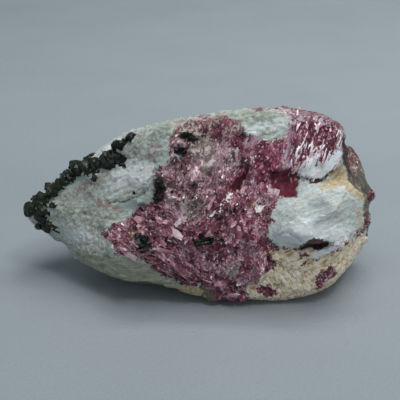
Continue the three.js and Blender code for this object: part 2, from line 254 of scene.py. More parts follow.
# Smaller spots of a mineral: (across, up, half width, half height, turn in degrees)
BLOBS = {
    "white": [
        (7.9, 0.2, 1, 2, -20), (6.2, -1.6, 1, 0.6, 30), (16.6, -2.4, 1.5, 1, 20), (15.2, -0.8, 0.8, 0.5, 0),
        (-6.2, 12.3, 0.9, 0.6, 0), (3.6, -4.2, 2, 0.6, 30), (-17.3, -0.8, 0.5, 0.5, 0),
        (-24, -13.6, 1, 0.4, -20),
    ],
    "lilac": [(14, 15.9, 3.2, 1.5, 28)],
    "pale": [  # cleaner, whiter albite; the first two lighten the boss's lower part where it lies in shade, a painted light
        (31, -9, 10, 3.4, 4), (25, -11, 5, 2.2, -12), (-18.5, 7, 6, 3.4, 15),
        (-34, -9.8, 6, 1.6, -12), (-26, 13.6, 4, 1.2, 30), (16, 19.8, 4.4, 1.2, 10),
    ],
    "stain": [  # iron stains
        (28.6, 5.7, 1, 0.5, 0), (-19.4, -8.9, 1.8, 1.1, -40), (12.4, -23.8, 2, 1, 30), (-3, -26, 4, 1.6, -12),
        (15, -1, 0.8, 0.6, 0), (21.6, -14.6, 3.4, 0.5, -5), (44.9, -5.6, 0.5, 2.4, 10),
    ],
    "pink": [
        (32, -17.1, 2.2, 0.5, 25), (36.3, -14.9, 1.8, 0.5, 20), (40.5, -12.4, 1.8, 0.7, 10),
        (29.4, -15.6, 1.5, 0.6, -10), (44.6, -9.2, 1.6, 0.8, 30), (23.6, -14, 1.5, 0.5, -5),
        (47.6, -6, 1, 2.6, 10), (49.2, 1.6, 1.7, 2, 0), (44, 14, 0.9, 3.6, 32), (47.4, 8.6, 0.5, 3.4, 18),
        (45.5, -9.5, 1.4, 0.5, -15),
    ],
    "blush": [  # faint pink traces in the albite
        (-28, -0.4, 2.2, 0.5, -30), (-26.2, -1.9, 1.8, 0.4, -10), (-32.5, 4.2, 2.4, 0.6, 28),
        (-37.6, -8.4, 1.2, 0.6, 60), (-18.6, 2.6, 1.2, 0.5, 10), (-13.6, 12.8, 1.6, 0.8, 10),
        (-12.4, 15.2, 1.2, 0.6, 0), (-14.6, 8.6, 1.6, 0.6, 30), (-20.6, 16.4, 2.2, 0.5, 25),
    ],
    "olive": [
        (-28, -3, 6, 2.4, 10), (-20.5, 4.8, 3, 1.6, 20), (-31, -8, 5, 1.8, 12), (-14.5, 10.5, 2, 3, 0),
        (-38, -3.6, 3, 1.4, 20), (-22, 12.6, 3, 1, 15), (-34, 1.5, 3, 1, 25), (-6, 20, 4, 1, 12),
        (-25, 8, 3, 1.4, 20), (-28, -13, 5, 1.2, -6), (5.5, 24.8, 1.8, 1, 40), (11.8, 25.4, 1, 0.4, 0),
        (-4, 22.6, 3, 0.8, 10), (-12, 19.5, 4, 1, 18), (-17, 8, 3, 1, 25), (-10, 22.4, 5, 1.2, 22),
        (0, 25.4, 4, 1.2, 14), (6.5, 26.4, 2, 1.3, 30), (17, 23.8, 5, 0.7, 8), (-31, -10.6, 4, 1, -5),
        (-36, -10, 2, 1, 0),
    ],
    "rust": [  # crimson-brown crumbs at the top of the quartz
        (43.4, 13.4, 2.6, 3.6, 32), (42, 12.4, 1.6, 5.4, 12), (46.6, 9, 0.6, 3, 18), (47.4, -5.6, 0.9, 2, 10),
    ],
    # dark tourmaline specks, and painted shade in near-black along the crevices round the block
    "dark": [
        (-18.6, 2, 0.7, 0.4, 20), (33, 5.3, 1.5, 0.5, 8), (35.6, 6.6, 0.8, 0.5, 45), (37.4, 8, 0.9, 0.4, 35),
        (30.2, 5.8, 1.1, 0.3, 0), (27.8, 6.2, 0.6, 0.7, 0), (32.8, 10.4, 0.3, 0.9, -25),
        (35.8, 13.2, 0.4, 1, -35), (41.1, 14.6, 0.5, 3.4, 4), (-3.8, 18, 1.8, 0.5, 12),
        (-5.4, 15, 0.8, 0.7, 0),
        (-11.8, 3.6, 1.1, 2, 0), (-7.9, 2.2, 0.5, 0.6, 0), (21.8, 8, 1.3, 0.8, 0), (41.8, 9.4, 0.4, 2.2, 20),
        (5, -11.4, 2, 0.25, 0),
    ],
    "bed": [  # where the solid's own tourmaline stands
        (-16.3, -11.8, 2.8, 2.5, 35), (-11.3, 4, 1.3, 1.9, 0), (-12.3, 0.2, 1.5, 1.3, 0),
        (-3.3, 17.9, 1.7, 1.1, 0), (-5.2, 13.4, 1.3, 1.2, 0), (0.9, -11.7, 3.1, 0.9, 0),
    ],
}
# Cracks and creases: each runs through its points, and is this wide and deep
CRACKS = [
    ([(-26.8, -0.8), (-21.5, -0.6), (-17, 1.4), (-15, 2.8)], 0.45, 0.5),
    ([(36.5, -6.6), (39, -4.4), (42, -2.4)], 0.35, 0.2),
    ([(33.5, -9.5), (38, -7.2), (42.5, -5)], 0.35, 0.25),
    ([(30, -10.8), (35, -10), (40, -7.8), (44, -6.6)], 0.3, 0.2),
    ([(21.5, -10), (25, -9.4), (28.5, -11.6)], 0.3, 0.3),
    ([(-24, 11.5), (-18, 12), (-13, 10.5)], 0.4, 0.3),
    ([(-33, -4), (-26, -5.5), (-20, -4.8)], 0.4, 0.3),
    ([(28.6, 6), (31, 5.5), (34.4, 5.4), (36.2, 7.1), (38.3, 8.4)], 0.5, 0.9),
    ([(39.8, 18.4), (40.5, 15.3), (40.9, 11.9), (41.9, 9), (43, 4.4)], 0.3, 0.5),
]
# The brown line along the ridge of the thick end, and half its width
BROWN_EDGES = [
    (15.8, 25.2), (19.2, 26.3), (23.4, 27), (28.2, 26.2), (32.5, 25.2), (35.3, 25.2), (38.7, 23.6),
    (40.4, 20),
]
BROWN_WIDTH = 1.1
# Mica, quartz and seam round the back, as balls in the part's own frame: (middle, half size)
BEHIND = {
    "mica": [
        ((24, 12, 44), (17, 12, 12)), ((-4, 24, 24), (12, 9, 9)), ((-30, 14, 20), (6, 7, 4)),
        ((8, 8, 2), (20, 9, 5)),
    ],
    "slab": [((48, 12, 24), (16, 17, 20)), ((16, 26, 12), (9, 8, 7))],
    "seam": [((34, 16, 5), (20, 20, 12)), ((-20, 24, 8), (12, 10, 6))],
}
# The rock's colours. Those with stops run from its dark hollows to its bright edges.
ROCK_SHADES = {
    "albite": ((0, "4b5047"), (0.22, "7f887d"), (0.46, "adbab4"), (0.72, "d0dcda"), (1, "f2f7f7")),
    "dirt": "867f63",
    "vein": "8d7a58",
    "fine_vein": "77735e",
    "olive": "7d7657",
    "blush": "9a6a72",
    "under": ((0, "414031"), (0.3, "77745c"), (0.55, "9d9c86"), (0.8, "c0c0ae"), (1, "e0e1d6")),
    "boss": ((0, "8e9590"), (0.25, "b0bab7"), (0.5, "c9d3d1"), (1, "eef2f2")),
    "boss_vein": "b39f7c",
    "boss_fine_vein": "8f9088",
    "pale": "f4f8fa",
    # the hollow's painted shade, bluish grey
    "hollow": "a9babb",
    "slab": ((0, "2b2821"), (0.5, "565246"), (0.8, "85837a"), (1, "c6c9c6")),
    "seam": ((0, "7d5d39"), (0.25, "bb9c73"), (0.48, "e0d0b2"), (0.7, "f4eddf"), (1, "fffefb")),
    "mica": ((0.08, "1f060c"), (0.3, "561729"), (0.5, "854056"), (0.68, "ad7d8b"), (0.86, "d6bec5"),
             (1, "f5eff1")),
    "mica_grey": "94857f",
    "mica_edge": "5c1c2a",
    "ashen": ((0.05, "2f231d"), (0.35, "806c69"), (0.6, "b49fa6"), (0.85, "d8cad3"), (1, "f2ecf1")),
    "magenta": "7d2b49",
    "block": ((0, "2a0812"), (0.35, "571a2d"), (0.5, "7e3f54"), (0.6, "b9a3ac"), (0.72, "e4e8eb")),
    "speckle": ((0, "33281e"), (0.25, "6d5f49"), (0.5, "967f7a"), (0.75, "b8aca4"), (1, "dcdad0")),
    "rim": ((0, "3a1a1f"), (0.3, "7b4656"), (0.55, "a58491"), (0.8, "cdc4ca"), (1, "e9e8e8")),
    "lilac": ((0, "6a3347"), (0.45, "a37f8f"), (0.75, "cbb9c4"), (1, "e8e1e7")),
    "crimson": ((0, "471021"), (0.6, "701f36"), (1, "8d4a60")),
    # painted shade of the crimson facet that is turned from the light
    "wedge": "43141b",
    "quartz": ((0, "52463d"), (0.35, "8c7f78"), (0.65, "bab0ac"), (1, "e6e0de")),
    "white": "e6e6e4",
    "below": ((0, "aab4b8"), (0.4, "dae3e8"), (1, "f6f9fb")),
    "below_gaps": "5a2434",
    "tongue": ((0, "8a5a6b"), (0.25, "cbc0c9"), (0.5, "eceef2"), (1, "fdfefe")),
    "stain": ((0, "80623a"), (0.4, "b09669"), (0.7, "d2c4a6"), (1, "ebe5d9")),
    # the hollow's maroon mica; its near-black end is painted shade
    "slot": ((0, "1c080c"), (0.45, "3d131b"), (0.7, "6b3430"), (1, "a07a6c")),
    # painted highlight: the white of the glints painted on the mica
    "painted_glint": "ece2e6",
    "brown": ((0, "2a1713"), (0.35, "5e2a2c"), (0.65, "7e4a47"), (0.85, "a58a7e"), (1, "dcd4cc")),
    # near-black of tourmaline specks and beds, and painted shade in the cracks and the crevices round the block
    "dark": ((0, "140f0e"), (0.6, "1d1413"), (1, "4a1f26")),
}

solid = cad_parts["lepidolite_stone"]


def points_of(corners):
    """The places of a mesh's corners, in mm, and the ways that they face."""
    return np.array([v.co for v in corners]) / MM, np.array([v.normal for v in corners])


def seen_at(points):
    """Where points fall on the front map, across and up, and how far behind its plane they lie."""
    gap = points - EYE
    depth = gap @ AHEAD
    return np.stack([gap @ ACROSS, gap @ UPWARD], 1) * (DISTANCE / depth)[:, None], depth - DISTANCE


def heading(turn):
    """The way that a turn in degrees points on the front map, across and up."""
    return math.cos(math.radians(turn)), math.sin(math.radians(turn))


def turned(points, turn):
    """Points in a frame that is turned about the front view's axis: along, over and deep."""
    c, s = heading(turn)
    side, rise = points @ ACROSS, points @ UPWARD
    return np.stack([side * c + rise * s, rise * c - side * s, points @ AHEAD], 1)


def wave(points, size, shift=0.0):
    """Smooth noise from about -1 to 1 with lumps `size` across, one number or three."""
    moved = points / np.asarray(size, float) + shift
    return np.array([noise.noise(spot) for spot in moved.tolist()])


def ease(value, low, high):
    """0 below `low`, 1 above `high` and smooth between them."""
    share = np.clip((value - low) / (high - low), 0, 1)
    return share * share * (3 - 2 * share)


def in_wing(spots):
    """From 0 in the mass of the mica to 1 in its wing, for spots on the map."""
    return ease(-spots[:, 0] - WING_SLANT * spots[:, 1], *WING)


def off_line(spots, corners):
    """The distance from each spot on the map to a line through some corners."""
    nearest = np.full(len(spots), np.inf)
    for start, end in zip(corners, corners[1:]):
        side = np.subtract(end, start)
        gap = spots - start
        share = np.clip(gap @ side / (side @ side), 0, 1)
        nearest = np.minimum(nearest, np.linalg.norm(gap - share[:, None] * side, axis=1))
    return nearest


def in_outline(spots, corners):
    """How far inside an outline on the map each spot lies; below 0 outside it."""
    ring = corners + corners[:1]
    inner = np.zeros(len(spots), bool)
    for (x0, y0), (x1, y1) in zip(ring, ring[1:]):
        level = (y0 > spots[:, 1]) != (y1 > spots[:, 1])
        edge = x0 + (spots[:, 1] - y0) * (x1 - x0) / ((y1 - y0) or 1)
        inner ^= level & (spots[:, 0] < edge)
    return np.where(inner, 1, -1) * off_line(spots, ring)


def in_blobs(spots, blobs):
    """How far inside any of the blobs each spot on the map lies; below 0 outside them all."""
    deepest = np.full(len(spots), -np.inf)
    for across, up, wide, high, turn in blobs:
        c, s = heading(turn)
        gap = (spots - (across, up)) @ np.array([[c, -s], [s, c]])
        deepest = np.maximum(deepest, (1 - np.linalg.norm(gap / (wide, high), axis=1)) * min(wide, high))
    return deepest


def in_balls(points, balls):
    """How far inside any of the balls each point of the rock lies; below 0 outside them all."""
    deepest = np.full(len(points), -np.inf)
    for middle, half in balls:
        gap = np.linalg.norm((points - middle) / half, axis=1)
        deepest = np.maximum(deepest, (1 - gap) * min(half))
    return deepest


def facets(points, turn, size):
    """Cleavage steps: space is split into cells with their own level and slope. Gives each point's height and
    a random share for its cell."""
    rows = []
    for spot in (turned(points, turn) / size).tolist():
        seed = noise.voronoi(spot)[1][0]
        level, share, _ = noise.cell_vector(seed * 97)
        slope = noise.cell_vector(seed * 61) - Vector((0.5, 0.5, 0.5))
        rows.append((level - 0.5 + STEP_SLOPE * slope.dot(Vector(spot) - seed), share))
    return np.array(rows).T


def fine_skin():
    """The solid's skin as an even mesh, finer where the front shows."""
    mesh = solid.data.copy()
    work = bmesh.new()
    work.from_mesh(mesh)
    bmesh.ops.remove_doubles(work, verts=work.verts, dist=MERGE * MM)
    work.to_mesh(mesh)
    work.free()
    blank = put("blank", mesh)
    even = blank.modifiers.new("even", "REMESH")
    even.mode, even.voxel_size = "VOXEL", GRID * MM
    blank.modifiers.new("soften", "SMOOTH").iterations = SOFTEN
    shown = blank.evaluated_get(bpy.context.evaluated_depsgraph_get())
    smooth = bpy.data.meshes.new_from_object(shown)
    bpy.data.objects.remove(blank)
    work = bmesh.new()
    work.from_mesh(smooth)
    points, out = points_of(work.verts)
    fine = (seen_at(points)[1] < FINE_DEPTH) & (out @ AHEAD < FINE_FACING) & (points[:, 2] > FINE_FOOT)
    edges = [e for e in work.edges if fine[e.verts[0].index] and fine[e.verts[1].index]]
    bmesh.ops.subdivide_edges(work, edges=edges, cuts=1, use_grid_fill=True)
    work.to_mesh(smooth)
    work.free()
    return smooth


def zones_of(points, out):
    """How far inside each mineral's zone every point lies, in mm, below 0 outside it; and how near to the
    front it is, from 0 on the back to 1."""
    spots, deep = seen_at(points)
    ragged = np.stack([wave(points, 3, first) * 0.7 + wave(points, 1, second) * 0.4
                       for first, second in RAGGED], 1)
    round_back = points + np.column_stack([ragged, ragged[:, :1]]) * 3
    near = 1 - ease(deep + 2 * wave(points, 8, 3.3), *FADE)
    turned_away = ease(out @ AHEAD + 0.06 * wave(points, 4, 6.1), *RIDGE_FACING)
    front = near * (1 - turned_away * ease(out[:, 2], *RIDGE_RISE))
    ragged *= 1 + 2.5 * ease(deep, *FRAYED)[:, None]
    before = {}
    for name, corners in OUTLINES:
        before[name] = np.maximum(before.get(name, -REACH), in_outline(spots + ragged, corners))
    for name, blobs in BLOBS.items():
        before[name] = np.maximum(before.get(name, -REACH), in_blobs(spots + 0.6 * ragged, blobs))
    zones = {}
    for name, depth in before.items():
        back = np.clip(in_balls(round_back, BEHIND.get(name, [])), -REACH, REACH)
        zones[name] = np.minimum(depth, REACH) * front + back * (1 - front)
    zones["crimson"] = np.maximum(zones["crimson"], zones["wedge"])
    zones["mica"] = np.maximum(zones["mica"], zones["pink"])
    return zones, near


def mark(mesh, marks):
    """Stores named values at a mesh's points, for its material to read."""
    for name, values in marks.items():
        layer = mesh.attributes.new(name, "FLOAT", "POINT")
        layer.data.foreach_set("value", values.astype(np.float32))


def dress(mesh):
    """Breaks the rock's skin into cleavage steps, lamellae, grain and cracks, and marks its zones on it."""
    points, out = points_of(mesh.vertices)
    spots = seen_at(points)[0]
    zones, near = zones_of(points, out)
    held = {name: ease(depth, *EDGE) for name, depth in zones.items()}
    lumps = {name: wave(points if turn is None else turned(points, turn), size, shift)
             for name, (turn, size, shift) in LUMPS.items()}
    small = lumps["small"]

    wing = in_wing(spots)
    coarse, tone = facets(points, *COARSE_STEPS)
    medium, tint = facets(points, *MEDIUM_STEPS)
    laid, shade = facets(points, *WING_STEPS)
    broken = (1 - wing) * (0.9 * coarse + 0.5 * medium) + wing * (0.85 * laid + 0.4 * medium) + 0.14 * small
    tones = (1 - wing) * tone + wing * shade + 0.22 * lumps["patches"] - 0.25 * held["magenta"]
    ribs = 1 - 2.4 * np.abs(lumps["ribs"]) + 0.5 * lumps["fine_ribs"]
    grain = 0.65 - 0.8 * np.abs(lumps["blades"]) - 1.5 * np.abs(lumps["fine_blades"]) + 0.7 * lumps["pits"]
    shelves = 0.4 - 1.6 * np.abs(lumps["shelves"]) + 0.3 * small
    strokes = 1.3 * lumps["strokes"] + 0.8 * lumps["fine_strokes"]
    waves = 1.3 * lumps["waves"] + 0.8 * lumps["fine_waves"]
    steep = ease(-spots[:, 1] - 0.3 * (spots[:, 0] - SEAM_MIDDLE), *SEAM_STEEP)
    crumbs = strokes * steep + waves * (1 - steep) + 0.5 * small

    height = 0.28 * grain + 0.45 * lumps["rolls"] + 0.2 * medium
    for name, relief in (
            ("under", 0.6 * shelves),
            ("slab", 0.3 * lumps["glass"] + 0.09 * lumps["fine_glass"]),
            ("boss", 0.2 * grain + 0.05 * lumps["rolls"]),
            ("hollow", 0.08 * grain - 0.3),
            ("seam", 0.22 * crumbs),
            ("mica", broken),
            ("speckle", 0.5 * medium + 0.25 * small),
            ("rim", 0.3 * medium + 0.2 * small),
            ("block", 0.3 * ribs),
            ("lilac", 0.15 * ribs - 0.2),
            ("below", 0.15 * grain + 0.2),
            ("crimson", 0.2 * coarse - 0.3),
            ("quartz", 0.35 * coarse + 0.1),
            ("white", 0.3 * small + 0.3),
            ("slot", -0.5),
            ("tongue", 0.2 * medium + 0.2 * small + 0.3),
            ("bed", -0.6)):
        height += (relief - height) * held[name]
    cut = np.zeros(len(points))
    for line, wide, deep in CRACKS:
        gap = off_line(spots + 0.5 * lumps["crack"][:, None], line) / wide
        cut = np.maximum(cut, deep * np.exp(-gap * gap) * near)
    height -= cut
    brown = BROWN_WIDTH - off_line(spots + 0.4 * lumps["ridge"][:, None], BROWN_EDGES)

    height *= ease(points[:, 2], *FOOT)
    moved = (points + out * height[:, None]) * MM
    mesh.vertices.foreach_set("co", np.clip(moved, *cad_box).ravel())
    whiter = np.maximum(0.09 * (WHITE_UNDER - spots[:, 1]), -0.3)
    whiter += 0.12 * np.maximum(spots[:, 0] - WHITE_RIGHT, 0)
    mark(mesh, dict(zones, wing=wing, tone=tones, tint=tint, ribs=ribs + whiter, grain=grain, crumbs=crumbs,
                    steep=steep, shelves=shelves, cut=cut, brown=brown * near - 3 * (1 - near)))
    mesh.update()


class Value:
    """A number in a shader: arithmetic on it adds Math nodes."""

    def __init__(self, tree, socket):
        self.tree = tree
        self.socket = socket

    def maths(self, operation, *terms):
        node = self.tree.nodes.new("ShaderNodeMath")
        node.operation = operation
        for slot, term in zip(node.inputs, terms):
            if isinstance(term, Value):
                self.tree.links.new(term.socket, slot)
            else:
                slot.default_value = term
        return Value(self.tree, node.outputs[0])

    def __add__(self, other):
        return self.maths("ADD", self, other)

    def __sub__(self, other):
        return self.maths("SUBTRACT", self, other)

    def __rsub__(self, other):
        return self.maths("SUBTRACT", other, self)

    def __mul__(self, other):
        return self.maths("MULTIPLY", self, other)

    def __abs__(self):
        return self.maths("ABSOLUTE", self)

    __radd__ = __add__
    __rmul__ = __mul__

    def most(self, other):
        """The greater of two values."""
        return self.maths("MAXIMUM", self, other)


def paint(code):
    """A hex colour as Blender's linear one."""
    parts = [int(code[k:k + 2], 16) / 255 for k in (0, 2, 4)]
    return [p / 12.92 if p < 0.04045 else ((p + 0.055) / 1.055) ** 2.4 for p in parts] + [1]


class Finish:
    """A material in the making, with one surface shader, its own table of colours and its colour so far."""

    NOISE_SPAN = 3.2  # makes a noise texture's values run from about -1 to 1

    def __init__(self, name, shades, **settings):
        self.material = bpy.data.materials.new(name)
        self.material.use_nodes = True
        self.tree = self.material.node_tree
        self.surface = self.tree.nodes["Principled BSDF"]
        self.shades = shades
        self.colour = None
        for socket, value in settings.items():
            self.surface.inputs[socket.replace("_", " ")].default_value = value
        self.place = self.node("VectorMath", {"operation": "SCALE"}, 0, {
            0: self.node("TexCoord", {}, "Object"), "Scale": 1 / MM})

    def node(self, kind, settings, out, sockets=None):
        """Adds a node: its settings first, then its sockets' values or links. Gives one of its outputs."""
        node = self.tree.nodes.new("ShaderNode" + kind)
        for name, value in settings.items():
            if name == "stops":
                ramp = node.color_ramp
                while len(ramp.elements) < len(value):
                    ramp.elements.new(1)
                for element, (spot, code) in zip(ramp.elements, value):
                    element.position, element.color = spot, paint(code)
            else:
                setattr(node, name, value)
        for name, value in (sockets or {}).items():
            if isinstance(value, Value):
                self.tree.links.new(value.socket, node.inputs[name])
            else:
                node.inputs[name].default_value = value
        return Value(self.tree, node.outputs[out])

    def feed(self, socket, value):
        self.tree.links.new(value.socket, self.surface.inputs[socket])

    def field(self, name):
        """A value that the mesh carries at each point."""
        return self.node("Attribute", {"attribute_name": name}, "Fac")

    def laid(self, turn, along, over, deep):
        """The place turned about the front view's axis and drawn out along, over and into the view."""
        place = self.place
        for socket, value in (("Rotation", (-ELEVATION, 0, 0)), ("Rotation", (0, -math.radians(turn), 0)),
                              ("Scale", (along, deep, over))):
            place = self.node("Mapping", {"vector_type": "TEXTURE"}, 0, {"Vector": place, socket: value})
        return place

    def clouds(self, size, detail=2.0, run=None, rough=0.55, twist=0.0):
        """Cloudy noise from about -1 to 1 with lumps `size` mm across, laid some way if `run` is given."""
        cloud = self.node("TexNoise", {}, 0, {
            "Vector": self.laid(*run) if run else self.place, "Scale": 1 / size, "Detail": detail,
            "Roughness": rough, "Distortion": twist})
        return (cloud - 0.5) * self.NOISE_SPAN

    def cells(self, size, run=None):
        """Cells `size` mm across, each with a random colour."""
        place = self.laid(*run) if run else self.place
        return self.node("TexVoronoi", {}, "Color", {"Vector": place, "Scale": 1 / size})

    def drawn(self, cells, channel=0):
        """A random number from 0 to 1 for each cell, out of one channel of its colour."""
        return self.node("SeparateColor", {}, channel, {0: cells})

    def step(self, value, low, high):
        """0 where a value is below `low`, 1 above `high`, smooth between."""
        return self.node("MapRange", {"interpolation_type": "SMOOTHSTEP"}, 0, {
            "Value": value, "From Min": low, "From Max": high})

    def blend(self, share, under, over):
        """One colour over another by a share."""
        return self.node("Mix", {"data_type": "RGBA"}, 2, {"Factor": share, 6: under, 7: over})

    def shade(self, name, pick=None):
        """A colour from the finish's table, where it has stops the one that a value picks."""
        if pick is None:
            return paint(self.shades[name])
        return self.node("ValToRGB", {"stops": self.shades[name]}, "Color", {"Fac": pick})

    def coat(self, share, name, pick=None):
        """Lays a colour from the table over the colour so far, by a share."""
        self.colour = self.blend(share, self.colour, self.shade(name, pick))

    def bump(self, height, depth, normal=None):
        """A normal roughened by a height, of which 1 stands for `depth` mm."""
        links = {"Height": height, "Distance": depth * MM}
        if normal:
            links["Normal"] = normal
        return self.node("Bump", {}, 0, links)


skin = fine_skin()
dress(skin)
skin.name = "rock"
skin.materials.clear()
skin.shade_smooth()
rock = put("rock", skin)

stone = Finish("lepidolite_rock", ROCK_SHADES, IOR=1.53, Specular_IOR_Level=0.32)
fuzz = stone.clouds(0.5, 4, rough=0.65)
spark = stone.cells(0.6)
luck = stone.drawn(spark)
chip = stone.drawn(stone.cells(1.5, (40, 1.5, 1, 1)), 1)


def mask(name, spread=1.0, soft=0.12):
    """Where a zone shows. Its edge is broken up into grains of the two minerals, `spread` mm either way."""
    broken = stone.field(name) + (luck + chip - 1) * spread + fuzz * 0.25
    return stone.step(broken, -soft, soft)


# albite: pale greenish white, greyer in its hollows, with wavy veins and olive and tan stains
fine = stone.clouds(0.4, 4, (18, 4.5, 1, 2), 0.75, 0.5)
blotch = stone.clouds(1.6, 4, (15, 2, 1, 1.3), 0.65)
grain = stone.field("grain") * 0.45 + fine * 0.65 + blotch * 0.3
stone.colour = stone.shade("albite", grain * 0.35 + 0.5)
dirt = stone.step(stone.clouds(4.5, 4, (18, 2.2, 1, 1.5), 0.7) - grain * 0.3, -0.1, 0.9)
stone.coat(dirt * 0.5, "dirt")
vein = stone.step(abs(stone.clouds(3, 4, (8, 2.4, 1, 1.6), 0.6, 0.8)), 0.12, 0)
stone.coat(vein * 0.42, "vein")
fine_vein = stone.step(abs(stone.clouds(1.1, 3, (14, 5, 1, 1.5), 0.6, 0.8)), 0.16, 0)
stone.coat(fine_vein * 0.35, "fine_vein")
stone.coat(mask("olive", 2.2, 1.6) * stone.step(blotch, -0.9, 0.7) * 0.7, "olive")
flush = stone.step(stone.clouds(2.4, 5, rough=0.6), 0.9, 1.25)
stone.coat(mask("blush", 0.9, 0.5).most(flush * 0.7) * 0.6, "blush")
layers = stone.field("shelves") * 0.6 + stone.clouds(0.5, 4, (-4, 9, 1, 2), 0.65) * 0.7
stone.coat(mask("under", 1.2, 1.2) * 0.75, "under", layers * 0.42 + 0.5)
boss = mask("boss", 0.4, 0.5)
stone.coat(boss * 0.85, "boss", grain * 0.18 + fine * 0.14 + 0.5)
stone.coat(boss * vein * 0.4, "boss_vein")
stone.coat(boss * fine_vein * 0.45, "boss_fine_vein")
# whiter albite, and painted light on the boss's shaded lower part
stone.coat(mask("pale", 1.6, 1.4) * 0.6, "pale")
# painted shade in the hollow beside the wing
stone.coat(mask("hollow", 0.4, 0.8) * 0.6, "hollow")

# smoky quartz
slab = mask("slab", 0.5)
stone.coat(slab, "slab", stone.clouds(1.6, 4, (-68, 4, 1, 2), 0.65, 0.4) * 0.4 + 0.45)

# weathered feldspar: cream strokes over tan and brown hollows
strokes = stone.clouds(0.4, 4, (-56, 4, 1, 1.5), 0.7)
waves = stone.clouds(0.4, 4, (18, 6, 1, 1.5), 0.7, 0.3)
crumb = stone.field("crumbs") * 0.4 + (waves + (strokes - waves) * stone.field("steep")) * 1.1
stone.coat(mask("seam", 0.7), "seam", crumb * 0.55 + 0.49)

# mica: crimson to pale pink facets, streaked the way that its plates run
mass = stone.clouds(0.5, 3, (MASS_TURN, 5, 1, 2), 0.6)
wing = stone.clouds(0.5, 3, (WING_TURN, 5, 1, 2), 0.6)
streak = mass + (wing - mass) * stone.field("wing")
tone = stone.field("tone") * 0.42 + stone.field("tint") * 0.35 + streak * 0.15 + luck * 0.26 - 0.03
grey = stone.step(stone.clouds(3.2, 3) + chip - 0.5, 0.2, 0.9)
pinks = stone.blend(grey * 0.3, stone.shade("mica", tone), stone.shade("mica_grey"))
ashen = mask("ashen", 1.6, 1) * stone.step(stone.clouds(2.2, 3), -0.9, 0.5)
pinks = stone.blend(ashen * 0.6, pinks, stone.shade("ashen", tone))
mica = mask("mica", 1)
stone.colour = stone.blend(mica, stone.colour, pinks)
inner = stone.step(stone.field("mica") + fuzz * 0.2, 0.5, 1.1)
stone.coat(mask("mica", 0.5) * (1 - inner) * stone.step(fuzz, -0.5, 0.3) * 0.6, "mica_edge")
stone.coat(mask("magenta", 0.8) * 0.65, "magenta")

# the striated block: crimson mica between white lamellae, crumbs over its top and its silky left side
stripes = stone.field("ribs") + stone.clouds(0.7, 3, (70, 5, 1, 2), 0.6) * 0.8
block = mask("block", 0.6)
stone.coat(block, "block", stripes * 0.32 + 0.27)
stone.coat(mask("speckle", 1.2) * 0.75, "speckle", luck * 0.7 + fuzz * 0.25 + 0.15)
stone.coat(mask("rim", 1.4) * 0.7, "rim", luck * 0.7 + fuzz * 0.3 + 0.15)
lilac = mask("lilac", 0.5, 0.5)
stone.coat(lilac * 0.85, "lilac", stone.clouds(0.6, 3, (76, 9, 1, 3), 0.6) * 0.45 + 0.5)

# the smooth crimson faces, the greyish quartz and the white grains in the mica
crimson = mask("crimson", 0.4)
stone.coat(crimson * 0.9, "crimson", stone.clouds(1.2, 3) * 0.4 + 0.5)
# the wedge: crimson mica painted darker as shade
stone.coat(mask("wedge", 0.3) * 0.8, "wedge")
quartz = mask("quartz", 1.6)
stone.coat(quartz * 0.75, "quartz", stone.field("tint") * 0.5 + streak * 0.16 + luck * 0.3)
white = mask("white", 0.9)
stone.coat(white, "white")

# round the boss: albite below the block, pale mica, iron-stained crumbs and the hollow, whose maroon mica is
# darkened to near-black as painted shade
below = mask("below", 0.7)
stone.coat(below, "below", grain * 0.25 + 0.5)
stone.coat(below * stone.step(stripes, -0.1, -0.6), "below_gaps")
stone.coat(mask("tongue", 0.5), "tongue", chip * 0.5 + fuzz * 0.4 + 0.25)
stone.coat(mask("stain", 0.9, 0.6) * 0.85, "stain", crumb * 0.4 + 0.5)
# the hollow below the boss, painted near-black as shade
stone.coat(mask("slot", 0.5) * 0.95, "slot", chip * 0.6 + fuzz * 0.3)

# painted glints, white highlights painted on the mica; then brown crumbs; then dark tourmaline specks, the beds
# of the tourmaline, and painted shade in the cracks and crevices
painted_glint = stone.step(stone.drawn(stone.cells(0.4), 2), 0.88, 0.94)
stone.coat(painted_glint * mica.most(block) * (1 - crimson) * (1 - lilac) * 0.5, "painted_glint")
stone.coat(mask("brown", 0.7, 0.3).most(mask("rust", 1.2, 0.5)) * 0.85, "brown", luck + fuzz * 0.2)
# painted shade: the deeper cracks are coloured near-black
painted_crack_shade = stone.step(stone.field("cut"), 0.12, 0.5) * stone.step(luck + fuzz * 0.3, 0.1, 0.8)
stone.coat(mask("dark", 0.3, 0.1).most(mask("bed", 0, 0.3)).most(painted_crack_shade * 0.8) * 0.92, "dark", luck)

stone.feed("Base Color", stone.colour)
flaky = mica.most(block) * (1 - below) * (1 - white) * (1 - quartz)
stone.feed("Roughness", 0.72 - flaky * (0.15 + luck * 0.3) - slab * 0.34)
tilt = stone.node("VectorMath", {"operation": "SUBTRACT"}, 0, {0: spark, 1: (0.5, 0.5, 0.5)})
tilt = stone.node("VectorMath", {"operation": "SCALE"}, 0, {0: tilt, "Scale": flaky * 0.9})
facing = stone.node("NewGeometry", {}, "Normal")
facing = stone.node("VectorMath", {"operation": "ADD"}, 0, {0: facing, 1: tilt})
facing = stone.node("VectorMath", {"operation": "NORMALIZE"}, 0, {0: facing})
pits = stone.clouds(0.3, 4, rough=0.7)
stone.feed("Normal", stone.bump(pits * 0.5 + fine * 0.5, 0.2, facing))
skin.materials.append(stone.material)

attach(rock, "root")
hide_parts("lepidolite_stone")


